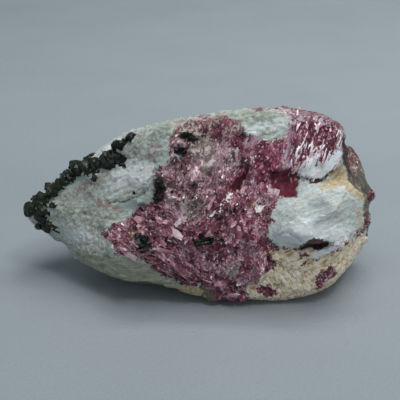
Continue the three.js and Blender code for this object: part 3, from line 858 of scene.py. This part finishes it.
# ---- The tourmaline ----
# Short, thick prisms of black-green tourmaline, each rooted in the rock: a large one in the wing of the mica,
# small ones set in the mass, and a crowd of them along the rim of the thin end and round its tip.
MIDDLE = np.array([4.394, -2.458, 25.0])  # of the rock; the solid's headings start from it
OFF_CENTRE = np.array([-0.606, 0.542, 0.0])  # from the solid's drawing to its own frame
OUTSIDE = 90  # farther from the middle than any of the rock

# The solid's own prisms by group: how many, the line that they stand on, their radius and length, and how far
# they lean over in degrees or the way that they lie.
PRISMS = {
    4: dict(count=1, start=(-14.4, -25, 22.4), radius=(2.2, 2.2), length=(4.6, 4.6), tip=(10, 20)),
    5: dict(count=2, start=(-9, -20.4, 36), stop=(-9.5, -20.4, 33), radius=(0.9, 1.3), length=(3, 4),
            tip=(20, 40)),
    6: dict(count=2, start=(-1.6, -17, 49.4), stop=(-4, -19, 46), radius=(0.9, 1.4), length=(3, 4),
            tip=(30, 60)),
    7: dict(count=1, start=(2, -23.6, 22.4), radius=(0.8, 1.1), length=(6, 8), lie=(1, 0, -0.12)),
}
# The knobs along its rim, its eighth group: (x, y, z, radius)
RIM_PRISMS = [
    (-20.7, -8.5, 44.1, 0.9), (-23.3, -7.5, 41.5, 1.1), (-25, -6.9, 41, 1.2), (-27.6, -7.2, 39.1, 1.3),
    (-25, -7.9, 38.7, 1.5), (-23.2, -9.1, 39.4, 1.4), (-21, -9.8, 39.3, 0.9), (-30.5, -6.7, 37.8, 1.7),
    (-31.4, -6.2, 36.4, 1.7), (-29.9, -7.3, 36.8, 1.4), (-31.2, -6.5, 35.1, 1.2), (-33.8, -2.5, 35.2, 1.6),
    (-35.7, -1.4, 33.7, 1.6), (-28.4, -7.8, 34.5, 1.4), (-37.5, -2.1, 31.2, 1.4), (-39, -1.6, 30.1, 1.5),
    (-40.6, -0.7, 29.2, 1.5), (-41.3, -1.1, 28.2, 1.1), (-44.4, 0.3, 25.8, 1.1), (-46.8, 0.8, 23.3, 1.3),
    (-47.4, 1.4, 22.1, 1.1), (-44.5, -1.1, 22.6, 1.8), (-41.1, -3, 24.5, 1.2), (-45, -0.2, 20.1, 1.4),
    (-44.6, -0.4, 18.1, 1.6), (-44, -0.8, 16.3, 1.5), (-42.5, -1.8, 17.6, 0.9), (-43, -1.2, 15.6, 0.9),
]
RIM_GROUP = 8
RIM_LENGTH = (2.8, 4)
RIM_TIP = (0, 45)
LIE_STRAY = 0.2  # how far a lying prism strays from its way
# Small ones placed on the front map: (across, up, radius, length)
SMALL_PRISMS = [
    (-11.6, 4.5, 1.3, 2), (-10.7, 2.8, 1.1, 2), (-12.1, 2.2, 0.9, 1.6), (-4.8, 18.1, 0.9, 1.8),
    (-2.8, 17.8, 0.8, 2), (-5.4, 15, 0.8, 1.6), (-7.9, 2.2, 0.5, 1.2), (1.1, -11, 0.8, 2.6),
    (3.4, -11.3, 0.6, 2.4), (6.2, -11.3, 0.4, 2), (-18.6, 2, 0.5, 1), (-48, -1.7, 0.9, 2),
]
SMALL_SUNK = 0.2  # how deep their middle lies in the rock, as a share of their length
SMALL_LEAN = 0.55  # how far they stray from standing straight out of it
SMALL_BACK = 24  # none stands farther back than this
# Crowds of crystals: the line on the front map that each follows, how many, and how far they stray from it
CROWDS = [
    ([(-47.4, -0.6), (-44.4, 1.2), (-41.6, 3.6), (-39.4, 5.4), (-37.2, 7), (-34.8, 9), (-32.4, 10.4),
      (-29, 11.4), (-25.4, 11), (-22, 10.8)], 130, 1.6),
    ([(-27, 12.5), (-24.8, 14.2), (-22.3, 15.6), (-20, 17)], 16, 0.7),
    ([(-49, -1.6), (-48.4, -3), (-47.4, -2.4)], 12, 0.8),
    ([(-43.4, -0.6), (-44.9, -2.6), (-45.4, -5), (-45, -7), (-43, -8.3)], 40, 1.1),
]
CROWD_RADIUS = (0.5, 1.7)
CROWD_LENGTH = (1.2, 2)  # times the radius
CROWD_FINER = 1.5  # above 1, more of them are small
# Each of the solid's own that stands in the mica is a core with thin strands round it, given as shares of its
# radius and length
CORE = (0.75, 0.7)
STRANDS = 14
STRAND_OFF = 0.95  # how far from its axis they stand at most
STRAND_SLIP = (-0.16, 0.14)  # how far they slip along it
STRAND_LEAN = 0.4  # how far they lean from it
STRAND_RADIUS = (0.2, 0.5)
STRAND_LENGTH = (0.45, 0.85)
FATTER = 1.06  # a prism shown over its solid, which it has to cover
SIDES = 7
TAPER = 0.95
SPIN = 1.3  # how far each prism is turned on from the last, in radians
RUBBED = 0.14  # the share of a prism's radius that its edges have lost
WORN = 0.3  # how uneven its surface is for its radius, the most of that in mm, and the size of the hollows
WORN_MOST = 0.45
WORN_SIZE = 0.9
FAR_END = (-18, -36)  # it turns paler over this stretch, towards the thin end
# From nearly black to greyish, picked by cloudy noise, and a little paler at the far end
TOURMALINE_SHADES = {
    "near_end": ((0, "010301"), (0.5, "060a06"), (0.8, "121a11"), (1, "394031")),
    "far_end": ((0, "0b0f09"), (0.5, "1d2419"), (1, "4d5340")),
}
rng = np.random.default_rng(11)


def chance(group, number, pick):
    """A share from 0 to 1 that is the same in each run. The solid's own prisms are varied by it."""
    return (math.sin(group * 127.1 + number * 311.7 + pick * 269.5) * 43758.5) % 1


def tree_of(mesh):
    """A mesh as a tree that rays can be cast at."""
    return BVHTree.FromPolygons([v.co for v in mesh.vertices], [f.vertices for f in mesh.polygons])


def struck(tree, start, way):
    """Where a ray first meets a tree, in mm, or None if it misses."""
    place = tree.ray_cast(Vector(start * MM), Vector(way))[0]
    return None if place is None else np.array(place) / MM


solid_tree = tree_of(solid.data)
rock_tree = tree_of(skin)


def seen_rock(across, up):
    """The place on the dressed rock that shows at a place on the front map, or None beside the rock."""
    way = across * ACROSS + up * UPWARD + DISTANCE * AHEAD
    return struck(rock_tree, EYE, way / np.linalg.norm(way))


def own_prism(group, number, place, radius, length, tip, lie=None):
    """One of the solid's own prisms as (middle, axis, radius, length). Its middle lies under the solid's face
    by half of what the prism measures that way."""
    out = place + OFF_CENTRE - MIDDLE
    out /= np.linalg.norm(out)

    def roll(low, high, pick):
        return low + (high - low) * chance(group, number, pick)
    if lie:
        axis = Vector(lie) + Vector([chance(group, number, k) - 0.5 for k in (3, 4, 5)]) * LIE_STRAY
    else:
        hinge = Quaternion(out, roll(0, 2 * math.pi, 3)) @ Vector((0, 0, 1)).cross(out).normalized()
        axis = Quaternion(hinge, math.radians(roll(*tip, 4))) @ Vector(out)
    wide, tall = roll(*radius, 6), roll(*length, 7)
    lean = axis.angle(Vector(out))
    depth = min(tall / 2 / abs(math.cos(lean)), wide / math.sin(lean))
    face = struck(solid_tree, MIDDLE + OUTSIDE * out, -out)
    return face - out * depth, axis.normalized(), wide * FATTER, tall


def bundled(prism):
    """A prism as a jagged bundle of thinner ones."""
    middle, axis, radius, length = prism
    yield middle, axis, CORE[0] * radius, CORE[1] * length
    side = axis.orthogonal().normalized()
    for _ in range(STRANDS):
        off = rng.uniform(0, STRAND_OFF) * radius * (Quaternion(axis, rng.uniform(0, 2 * math.pi)) @ side)
        slip = rng.uniform(*STRAND_SLIP) * length * axis
        lean = (axis + STRAND_LEAN * Vector(rng.normal(0, 1, 3))).normalized()
        yield (middle + np.array(off + slip), lean, rng.uniform(*STRAND_RADIUS) * radius,
               rng.uniform(*STRAND_LENGTH) * length)


def solid_prisms():
    """Every prism of the solid, those in the mica as bundles."""
    for group, kind in PRISMS.items():
        start, stop = np.array(kind["start"], float), np.array(kind.get("stop", kind["start"]), float)
        for number in range(kind["count"]):
            place = start + number / max(1, kind["count"] - 1) * (stop - start)
            yield from bundled(own_prism(group, number, place, kind["radius"], kind["length"],
                                         kind.get("tip"), kind.get("lie")))
    for number, (x, y, z, radius) in enumerate(RIM_PRISMS):
        yield own_prism(RIM_GROUP, number, np.array([x, y, z]), (radius, radius), RIM_LENGTH, RIM_TIP)


def rooted(across, up, radius, length, sunk=SMALL_SUNK):
    """A small prism set in the dressed rock at a place on the front map, if there is rock."""
    hit = seen_rock(across, up)
    if hit is None or hit[1] > SMALL_BACK:
        return []
    axis = (Vector(hit - MIDDLE).normalized() + SMALL_LEAN * Vector(rng.normal(0, 1, 3))).normalized()
    return [(hit - sunk * length * np.array(axis), axis, radius, length)]


def small_prisms():
    """Every prism that stands in the rock beside the solid's own."""
    for spot in SMALL_PRISMS:
        yield from rooted(*spot)
    low, high = CROWD_RADIUS
    for line, count, stray in CROWDS:
        lengths = np.array([math.dist(*pair) for pair in zip(line, line[1:])])
        for along in np.linspace(0, lengths.sum() * 0.999, count):
            leg = np.searchsorted(lengths.cumsum(), along)
            share = (along - lengths[:leg].sum()) / lengths[leg]
            spot = np.add(line[leg], share * np.subtract(line[leg + 1], line[leg]))
            spot += rng.uniform(-stray, stray, 2)
            radius = low + (high - low) * rng.random() ** CROWD_FINER
            yield from rooted(*spot, radius, radius * rng.uniform(*CROWD_LENGTH), 0)


def joined(name, shapes, material):
    """One piece out of many (points, faces) shapes, in mm."""
    points, faces, count = [], [], 0
    for corners, rings in shapes:
        points.append(corners)
        faces += [[count + k for k in ring] for ring in rings]
        count += len(corners)
    mesh = bpy.data.meshes.new(name)
    mesh.from_pydata(np.clip(np.concatenate(points) * MM, *cad_box), [], faces)
    mesh.materials.append(material)
    return put(name, mesh)


def as_arrays(work):
    """A finished bmesh as its points and faces."""
    work.verts.index_update()
    points = np.array([v.co for v in work.verts])
    faces = [[v.index for v in face.verts] for face in work.faces]
    work.free()
    return points, faces


def prism_shape():
    """A prism 1 long and 1 in radius, with its edges rubbed off; it is bevelled at half its length."""
    work = bmesh.new()
    bmesh.ops.create_cone(work, cap_ends=True, segments=SIDES, radius1=1, radius2=TAPER, depth=1)
    bmesh.ops.scale(work, vec=(1, 1, 0.5), verts=work.verts)
    bmesh.ops.bevel(work, geom=work.edges, offset=RUBBED, offset_type="OFFSET", segments=1, profile=0.5,
                    affect="EDGES", material=-1)
    bmesh.ops.scale(work, vec=(1, 1, 2), verts=work.verts)
    return as_arrays(work)


def set_prisms(prisms):
    """The prisms as shapes in their places, each turned on about its axis and worn."""
    points, faces = prism_shape()
    for number, (middle, axis, radius, length) in enumerate(prisms):
        turn = Vector((0, 0, 1)).rotation_difference(axis) @ Quaternion((0, 0, 1), number * SPIN)
        placed = points * (radius, radius, length) @ np.array(turn.to_matrix()).T + middle
        uneven = np.stack([wave(placed, WORN_SIZE, shift) for shift in (3.1, 17.3, 29.9)], 1)
        yield placed + min(WORN * radius, WORN_MOST) * uneven, faces


black = Finish("tourmaline_black", TOURMALINE_SHADES, IOR=1.5, Specular_IOR_Level=0.25)
soot = black.clouds(0.7, 3) * 0.5 + 0.5
black.colour = black.shade("near_end", soot)
far_end = black.step(black.node("SeparateXYZ", {}, "X", {0: black.place}), *FAR_END)
black.coat(far_end * 0.75, "far_end", soot)
black.feed("Base Color", black.colour)
black.feed("Normal", black.bump(black.clouds(0.3, 2), 0.02))
black.feed("Roughness", black.step(black.clouds(1.1), -0.6, 1) * 0.3 + 0.2)

prism_list = [*solid_prisms(), *small_prisms()]
tourmaline = joined("tourmaline_prisms", set_prisms(prism_list), black.material)
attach(tourmaline, "root")


# ---- The mica ----
# Books and flakes of lepidolite: thin six-sided plates that split along one plane, standing at all angles out
# of the mass. Plates near each other share a lie, so whole patches of them flash together.
FLAKES = 8000
BOOKS = 330
LAMELLAE = 100  # white plates on edge in the block
BOOK_LAYERS = 3
DOMAIN = 4.5  # size of the patches that share a lie
FLAKE_RADIUS = (0.28, 1.2)
FLAKE_THICK = (0.3, 0.6)  # times PLATE_THICK
BOOK_RADIUS = (0.8, 2.2)
BOOK_THICK = 0.35  # times the radius and PLATE_THICK
FLAKE_SUNK = 0.15  # times the radius, into the rock
BOOK_SUNK = 0.2
# A plate 1 in radius: its width, its thickness, how uneven its corners are, and how far the next plate of a
# book slips over it and how much smaller that one is
PLATE_WIDTH = 0.72
PLATE_THICK = 0.22
PLATE_UNEVEN = 0.28
PLATE_GROUP = 31  # the group by which their corners are varied, beyond those of the prisms
LAYER_SLIP = (0.16, 0.1, 0.24)
LAYER_LESS = 0.12
PLATE_STRAY = 0.16  # how far a plate strays from the lie of its patch
# How the plates lie in the wing and in the mass: how far they follow their patch's lie, how far their turn on
# the front map strays in degrees, and how wide they are for their length
WING_LIE = (0.7, 12, (0.18, 0.5))
MASS_LIE = (1.05, 22, (0.35, 1))
GLINTS = 0.05  # the share of the flakes painted white as glints, a painted highlight
GLINT_TONE = 0.97
GLINT_RADIUS = 0.35  # the share of the flakes' range of sizes that they have
PAINTED_LIGHT_AND_SHADE = 0.16  # painted highlight: how much paler a plate is where it stands 0.5 mm out of the rock; painted shade: as much darker as deep in it
LAMELLA_LENGTH = (0.6, 2.6)  # half of it
LAMELLA_THICK = (0.8, 2.2)  # times PLATE_THICK
LAMELLA_DEPTH = 0.8  # times PLATE_WIDTH, in and out of the rock
LAMELLA_SUNK = 0.4  # how deep their middles lie in it
LAMELLA_TONE = (0.72, 0.92)
LAMELLA_STRAY = 6  # degrees
LAMELLAE_UNDER = 17  # they stand closer below this height on the front map,
LAMELLAE_RIGHT = (36, 39.5)  # and closer still from this stretch to the right
# Books placed on the front map: (across, up, half length, half width, turn in degrees, tone)
PLACED = [
    (-7.6, -8.8, 3.4, 1, -36, 0.82), (-15.5, -8.2, 3, 0.8, -25, 0.72), (-16.7, -5.9, 2.4, 1.4, -30, 0.6),
    (-11.3, -5.4, 2.4, 0.9, -35, 0.66),
    (5.4, -23.4, 1.8, 1.2, 20, 0.6), (-4, -17.5, 2.2, 0.6, -35, 0.66), (-1.1, -14.7, 1.6, 0.6, 60, 0.6),
    (11.3, -2.8, 1.7, 0.5, 70, 0.68), (2.8, -1.4, 1.8, 0.6, 75, 0.68), (-8.5, -17.5, 2, 0.6, -35, 0.62),
    (11, -7.9, 1.6, 0.5, 65, 0.7), (15.8, -6.2, 1.8, 0.6, 60, 0.64), (-11.3, -11.6, 2.2, 0.8, -38, 0.6),
    (4.2, -15.5, 1.8, 0.6, 75, 0.64),
]
PLACED_THICK = 0.7  # times PLATE_THICK
PLACED_SUNK = 0.15
CLEAR = 0.9  # no plate stands nearer than this to a prism
COVER_EDGE = (0.3, 1.4)  # the plates set in over this stretch of the mica's edge
COVER_FOOT = (0.8, 2.5)  # and over these heights
# How much of them is left where other minerals show
BARE = {
    "crimson": 0.08, "magenta": 0.2, "quartz": 0.12, "below": 0.03, "white": 0.1, "lilac": 0.08, "wedge": 0,
    "slot": 0.1, "speckle": 0.4, "pink": 0.12, "seam": 0.3, "brown": 0.08, "rim": 0.15, "bed": 0,
}
# The plates' colours, from dark tones and the painted shade at their feet to pale tones and the painted
# highlight at their edges
MICA_SHADES = {
    "crimson": ((0.05, "20050c"), (0.25, "571729"), (0.45, "874257"), (0.65, "b07f8d"), (0.85, "d7bec5"),
                (1, "fbf9f9")),
    "violet": ((0.1, "260a18"), (0.35, "6b4059"), (0.65, "a98aa0"), (1, "eee6ef")),
    "ash": ((0.1, "2f231d"), (0.35, "7a6463"), (0.65, "b39fa6"), (1, "f2ecf1")),
    "vivid": ((0.1, "3f0f20"), (0.35, "7a2544"), (0.65, "a45274"), (1, "e8c6d8")),
    # painted highlight: the white of the glints painted on the flakes
    "painted_glint": "f0e6ea",
}


def plate_shape(layers):
    """A plate, or a book of several plates that slip over each other; 1 in radius."""
    work = bmesh.new()
    for layer in range(layers):
        made = bmesh.ops.create_circle(work, cap_ends=True, segments=6, radius=1 - LAYER_LESS * layer)
        bmesh.ops.scale(work, vec=(1, PLATE_WIDTH, 1), verts=made["verts"])
        for k, corner in enumerate(made["verts"]):
            corner.co *= 1 + PLATE_UNEVEN * (chance(PLATE_GROUP, layer, k) - 0.5)
        slip = layer * Vector(LAYER_SLIP) * Vector((1, (-1) ** layer, 1))
        bmesh.ops.translate(work, vec=slip, verts=made["verts"])
        foot = made["verts"][0].link_faces[0]
        top = bmesh.ops.extrude_face_region(work, geom=[foot])["geom"]
        corners = [v for v in top if isinstance(v, bmesh.types.BMVert)]
        bmesh.ops.translate(work, vec=(0, 0, PLATE_THICK), verts=corners)
    bmesh.ops.recalc_face_normals(work, faces=work.faces)
    return as_arrays(work)


def spots_on(mesh, share, count):
    """Random spots on a mesh, more of them where its points have a greater share: places, the ways that they
    face and the number of a point close by."""
    mesh.calc_loop_triangles()
    corners = np.array([t.vertices for t in mesh.loop_triangles])
    points, outs = points_of(mesh.vertices)
    a, b, c = points[corners].transpose(1, 0, 2)
    area = np.linalg.norm(np.cross(b - a, c - a), axis=1) * share[corners].mean(1)
    picked = corners[rng.choice(len(corners), count, p=area / area.sum())]
    weights = rng.dirichlet((1, 1, 1), count)
    places = (points[picked] * weights[:, :, None]).sum(1)
    ways = (outs[picked] * weights[:, :, None]).sum(1)
    return places, ways / np.linalg.norm(ways, axis=1)[:, None], picked[:, 0]


def field_of(mesh, name):
    """A value that a mesh carries at each point."""
    value = np.empty(len(mesh.vertices), np.float32)
    mesh.attributes[name].data.foreach_get("value", value)
    return value


def along_on(axis, turn):
    """The way that lies square to an axis and is turned on the front map, in degrees."""
    c, s = heading(turn)
    along = c * ACROSS + s * UPWARD
    along -= (along @ axis) * axis
    return along / np.linalg.norm(along)


def laid_on(axis, turn, size):
    """A plate's size and lie, with its face along `axis` and its length turned on the front map."""
    axis = axis / np.linalg.norm(axis)
    along = along_on(axis, turn)
    return np.column_stack([along, np.cross(axis, along), axis]) * size


def mica_cover():
    """How thickly the plates lie at each of the rock's points."""
    points = points_of(skin.vertices)[0]
    share = ease(np.maximum(field_of(skin, "mica"), 0.6 * field_of(skin, "block")), *COVER_EDGE)
    share *= 1 - 0.9 * ease(field_of(skin, "block"), -0.3, 0.6)
    for zone, left in BARE.items():
        share *= 1 - (1 - left) * ease(field_of(skin, zone), -0.3, 0.5)
    for middle, _, radius, length in prism_list:
        share *= np.linalg.norm(points - middle, axis=1) > max(radius, 0.5 * length) + CLEAR
    return share * ease(points[:, 2], *COVER_FOOT)


def set_plates(count, radii, layers, sunk):
    """Plates in their places, and for each point of them its tone, with painted highlight towards their free
    edges and painted shade towards their feet, and how greyish and how magenta it is.
    """
    points, faces = plate_shape(layers)
    places, ways, near = spots_on(skin, mica_cover(), count)
    lies = [noise.cell_vector(noise.voronoi(spot)[1][0] * 83) for spot in (places / DOMAIN).tolist()]
    tones = 0.6 * field_of(skin, "tone")[near] + 0.4 * field_of(skin, "tint")[near]
    casts = np.stack([ease(field_of(skin, zone)[near], -0.8, 1.2) for zone in ("ashen", "magenta")], 1)
    casts *= rng.uniform(0.3, 1, (count, 1))
    planks = in_wing(seen_at(places)[0]) > rng.random(count)
    low, high = radii
    shapes, shades = [], []
    for place, way, lie, tone, cast, plank in zip(places, ways, np.array(lies), tones, casts, planks):
        tilt, stray, width = WING_LIE if plank else MASS_LIE
        axis = way + tilt * (lie - 0.5) + rng.normal(0, PLATE_STRAY, 3)
        turn = rng.normal(WING_TURN if plank else MASS_TURN, stray)
        glint = layers == 1 and rng.random() < GLINTS
        radius = low + (high - low) * rng.random() ** 2 * (GLINT_RADIUS if glint else 1)
        narrow = math.sqrt(rng.uniform(*width))
        thick = rng.uniform(*FLAKE_THICK) if layers == 1 else radius * BOOK_THICK
        size = (radius / narrow, radius * narrow, thick)
        placed = points @ laid_on(axis, turn, size).T + place - way * sunk * radius
        shapes.append((placed, faces))
        # a glint flake gets a near-white tone, a painted highlight
        shade = GLINT_TONE if glint else 0.68 * tone + 0.36 * rng.random() - 0.1
        # painted highlight towards a plate's free edge, painted shade towards its foot in the rock
        shade = shade + PAINTED_LIGHT_AND_SHADE * np.clip((placed - place) @ way / 0.5, -1, 1)
        shades.append(np.column_stack([shade, np.tile(cast, (len(placed), 1))]))
    return shapes, shades


def place_books():
    """The books that are placed one by one."""
    points, faces = plate_shape(BOOK_LAYERS)
    for across, up, long, wide, turn, tone in PLACED:
        axis = 0.9 * -AHEAD + 0.15 * UPWARD + 0.15 * rng.normal(0, 1, 3)
        lie = laid_on(axis, turn, (long, 1.3 * wide, PLACED_THICK))
        placed = points @ lie.T + seen_rock(across, up) + PLACED_SUNK * AHEAD
        yield (placed, faces), np.tile((tone, 0, 0), (len(points), 1))


def lamellae():
    """The white plates of the block, on edge side by side and flush with it, more to its lower right."""
    points, faces = plate_shape(1)
    corners, outs = points_of(skin.vertices)
    across, up = seen_at(corners)[0].T
    white = 0.1 + ease(LAMELLAE_UNDER - up, 0, 6) + 0.5 * ease(across, *LAMELLAE_RIGHT)
    white *= ease(field_of(skin, "block"), 0.3, 1.2) * ease(outs @ -AHEAD, 0.2, 0.5)
    for zone in ("lilac", "brown", "rim", "below"):
        white *= 1 - 0.8 * ease(field_of(skin, zone), -0.2, 0.4)
    places, ways, _ = spots_on(skin, white, LAMELLAE)
    for place, way in zip(places, ways):
        along = along_on(way, BLOCK_TURN + rng.normal(0, LAMELLA_STRAY))
        size = (rng.uniform(*LAMELLA_LENGTH), LAMELLA_DEPTH, rng.uniform(*LAMELLA_THICK))
        lie = np.column_stack([along, way, np.cross(along, way)]) * size
        tone = (rng.uniform(*LAMELLA_TONE), 1, 0)
        yield (points @ lie.T + place - LAMELLA_SUNK * way, faces), np.tile(tone, (len(points), 1))


flakes, flake_tones = set_plates(FLAKES, FLAKE_RADIUS, 1, FLAKE_SUNK)
books, book_tones = set_plates(BOOKS, BOOK_RADIUS, BOOK_LAYERS, BOOK_SUNK)
placed, placed_tones = zip(*place_books())
stripes, stripe_tones = zip(*lamellae())

pearl = Finish("mica_flakes", MICA_SHADES, IOR=1.56, Coat_Roughness=0.12)
mass = pearl.clouds(0.35, 3, (MASS_TURN, 6, 1, 2), 0.6)
wing = pearl.clouds(0.35, 3, (WING_TURN, 6, 1, 2), 0.6)
leftward = pearl.step(pearl.node("SeparateXYZ", {}, "X", {0: pearl.place}), -WING[0], -WING[1])
shade = pearl.field("shade") + (mass + (wing - mass) * leftward) * 0.22
pearl.colour = pearl.shade("crimson", shade)
pearl.coat(pearl.step(pearl.clouds(3, 2), 0.1, 0.9) * 0.4, "violet", shade)
pearl.coat(pearl.field("ash") * 0.65, "ash", shade)
pearl.coat(pearl.field("vivid") * 0.7, "vivid", shade)
# white specks painted on the flakes as glints, a painted highlight
pearl.coat(pearl.step(pearl.drawn(pearl.cells(0.35)), 0.9, 0.95) * 0.3, "painted_glint")
pearl.feed("Base Color", pearl.colour)
pearl.feed("Roughness", 0.5 - pearl.step(shade, 0.2, 0.9) * 0.22)
pearl.feed("Coat Weight", pearl.step(shade, 0.55, 0.95) * 0.6)
pearl.feed("Normal", pearl.bump(pearl.clouds(0.25, 2), 0.03))

mica = joined("mica_flakes", [*flakes, *books, *placed, *stripes], pearl.material)
tones = np.concatenate([*flake_tones, *book_tones, *placed_tones, *stripe_tones])
mark(mica.data, dict(zip(("shade", "ash", "vivid"), tones.T)))
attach(mica, "root")


# ---- The table and the light ----
# A sheet of pale cloth lies under the stone and rises behind it. A broad soft lamp hangs above, a weaker one
# stands on each side, a small one gives the glints, and one more lights the sheet.
SHEET = dict(front=-900, back=500, bend=350, top=1200, side=1500)
BEND_STEPS = 12
LAMPS = [
    # (name, place, aim, width, watts)
    ("overhead", (60, -160, 620), (0, 0, 25), 440, 2.35),
    ("left_fill", (-620, -380, 260), (0, 0, 25), 400, 0.4),
    ("right_fill", (520, -420, 130), (0, 0, 25), 320, 0.9),
    ("glint", (150, -300, 480), (0, 0, 25), 80, 0.6),
    ("backdrop", (260, 150, 850), (300, 850, 520), 600, 9.4),
]
SKY = "b9c4cc"
SKY_STRENGTH = 0.56

cloth = Finish("pale_cloth", {"weave": ((0, "7f878c"), (1, "899196"))}, Roughness=0.9)
cloth.feed("Base Color", cloth.shade("weave", cloth.clouds(60, 3) * 0.3 + 0.5))
cloth.feed("Normal", cloth.bump(cloth.clouds(1.2, 2), 0.08))


def drawn_out(work, edge, way):
    """Draws an edge out to a face and gives the edge on its far side."""
    made = bmesh.ops.extrude_edge_only(work, edges=[edge])["geom"]
    ends = [v for v in made if isinstance(v, bmesh.types.BMVert)]
    bmesh.ops.translate(work, verts=ends, vec=way)
    return work.edges.get(ends)


side, front, back, bend, top = (SHEET[key] * MM for key in ("side", "front", "back", "bend", "top"))
work = bmesh.new()
edge = work.edges.new([work.verts.new((x, front, 0)) for x in (-side, side)])
edge = drawn_out(work, edge, (0, back - front, 0))
bent = bmesh.ops.spin(work, geom=[*edge.verts, edge], cent=(0, back, bend), axis=(1, 0, 0),
                      angle=math.pi / 2, steps=BEND_STEPS, use_duplicate=False)["geom_last"]
drawn_out(work, next(e for e in bent if isinstance(e, bmesh.types.BMEdge)), (0, 0, top - bend))
bmesh.ops.remove_doubles(work, verts=work.verts, dist=MERGE * MM)
bmesh.ops.recalc_face_normals(work, faces=work.faces)
sheet_mesh = bpy.data.meshes.new("table_sheet")
work.to_mesh(sheet_mesh)
work.free()
sheet_mesh.shade_smooth()
sheet_mesh.materials.append(cloth.material)
sheet = put("table_sheet", sheet_mesh)

for name, place, aim, width, watts in LAMPS:
    lamp = bpy.data.lights.new(name, "AREA")
    lamp.size = width * MM
    lamp.energy = watts
    holder = put(name, lamp)
    holder.location = Vector(place) * MM
    holder.rotation_euler = (Vector(aim) - Vector(place)).to_track_quat("-Z", "Y").to_euler()

sky = bpy.data.worlds.new("studio")
sky.use_nodes = True
backing = sky.node_tree.nodes["Background"].inputs
backing["Color"].default_value = paint(SKY)
backing["Strength"].default_value = SKY_STRENGTH
bpy.context.scene.world = sky
bpy.context.scene.view_settings.view_transform = "Standard"
